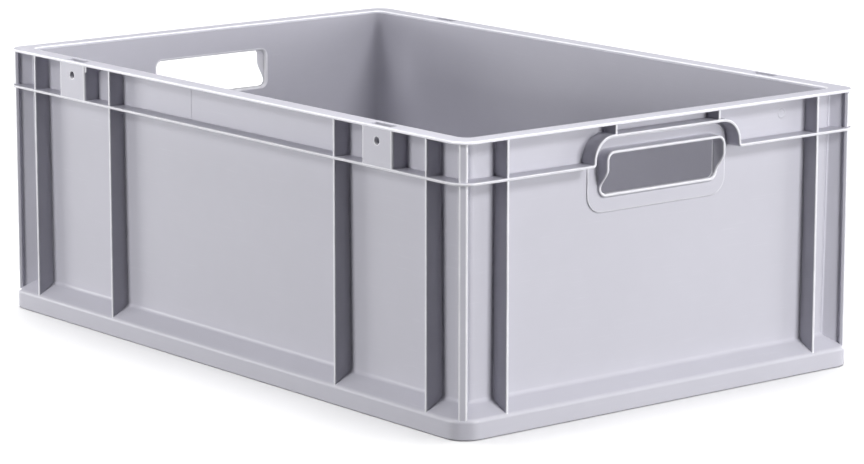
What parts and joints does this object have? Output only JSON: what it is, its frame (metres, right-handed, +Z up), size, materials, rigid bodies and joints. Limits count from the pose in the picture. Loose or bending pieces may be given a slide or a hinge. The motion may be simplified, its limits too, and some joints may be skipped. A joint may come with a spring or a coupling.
{
  "type": "stacking plastic crate",
  "caption": "Open-topped moulded plastic stacking crate with smooth walls, upright ribs, a flat rim, a middle flange, hand holes in both ends and lid hinge pockets.",
  "frame": {"origin": "centre of the footprint at the level the base stands on", "axes": "+X along the long side towards one hand-hole end, +Y across towards the back long side, +Z up"},
  "size_m": [0.6, 0.4, 0.22],
  "materials": {
    "wall_plastic": "fine satin mould texture, light cool grey",
    "edge_plastic": "the same plastic on ribs, flanges and blocks, worn a little smoother at the edges",
    "rim_plastic": "the same plastic on the rim, lightly scuffed by stacking",
    "base_plastic": "the same plastic on the base and floor, slightly rougher"
  },
  "bodies": {
    "root": {"base_band_back": "base_plastic", "base_band_front": "base_plastic", "base_band_left": "base_plastic", "base_band_right": "base_plastic", "base_corner_1": "base_plastic", "base_corner_2": "base_plastic", "base_corner_3": "base_plastic", "base_corner_4": "base_plastic", "base_ledge_back": "base_plastic", "base_ledge_front": "base_plastic", "base_ledge_left": "base_plastic", "base_ledge_right": "base_plastic", "clip_web_1": "edge_plastic", "clip_web_2": "edge_plastic", "corner_post_1": "edge_plastic", "corner_post_2": "edge_plastic", "corner_post_3": "edge_plastic", "corner_post_4": "edge_plastic", "end_wall_left": "wall_plastic", "end_wall_right": "wall_plastic", "floor": "base_plastic", "grip_arch_left": "edge_plastic", "grip_arch_right": "edge_plastic", "grip_collar_left": "edge_plastic", "grip_collar_right": "edge_plastic", "grip_web_left_1": "edge_plastic", "grip_web_left_2": "edge_plastic", "grip_web_right_1": "edge_plastic", "grip_web_right_2": "edge_plastic", "hinge_block_1": "edge_plastic", "hinge_block_2": "edge_plastic", "hinge_block_3": "edge_plastic", "hinge_block_4": "edge_plastic", "long_wall_back": "wall_plastic", "long_wall_front": "wall_plastic", "middle_flange_back": "edge_plastic", "middle_flange_front": "edge_plastic", "rib_back_1": "edge_plastic", "rib_back_2": "edge_plastic", "rib_back_3": "edge_plastic", "rib_back_4": "edge_plastic", "rib_front_1": "edge_plastic", "rib_front_2": "edge_plastic", "rib_front_3": "edge_plastic", "rib_front_4": "edge_plastic", "rib_left_1": "edge_plastic", "rib_left_2": "edge_plastic", "rib_right_1": "edge_plastic", "rib_right_2": "edge_plastic", "top_rim": "rim_plastic", "wall_corner_1": "wall_plastic", "wall_corner_2": "wall_plastic", "wall_corner_3": "wall_plastic", "wall_corner_4": "wall_plastic"}
  },
  "joints": []
}
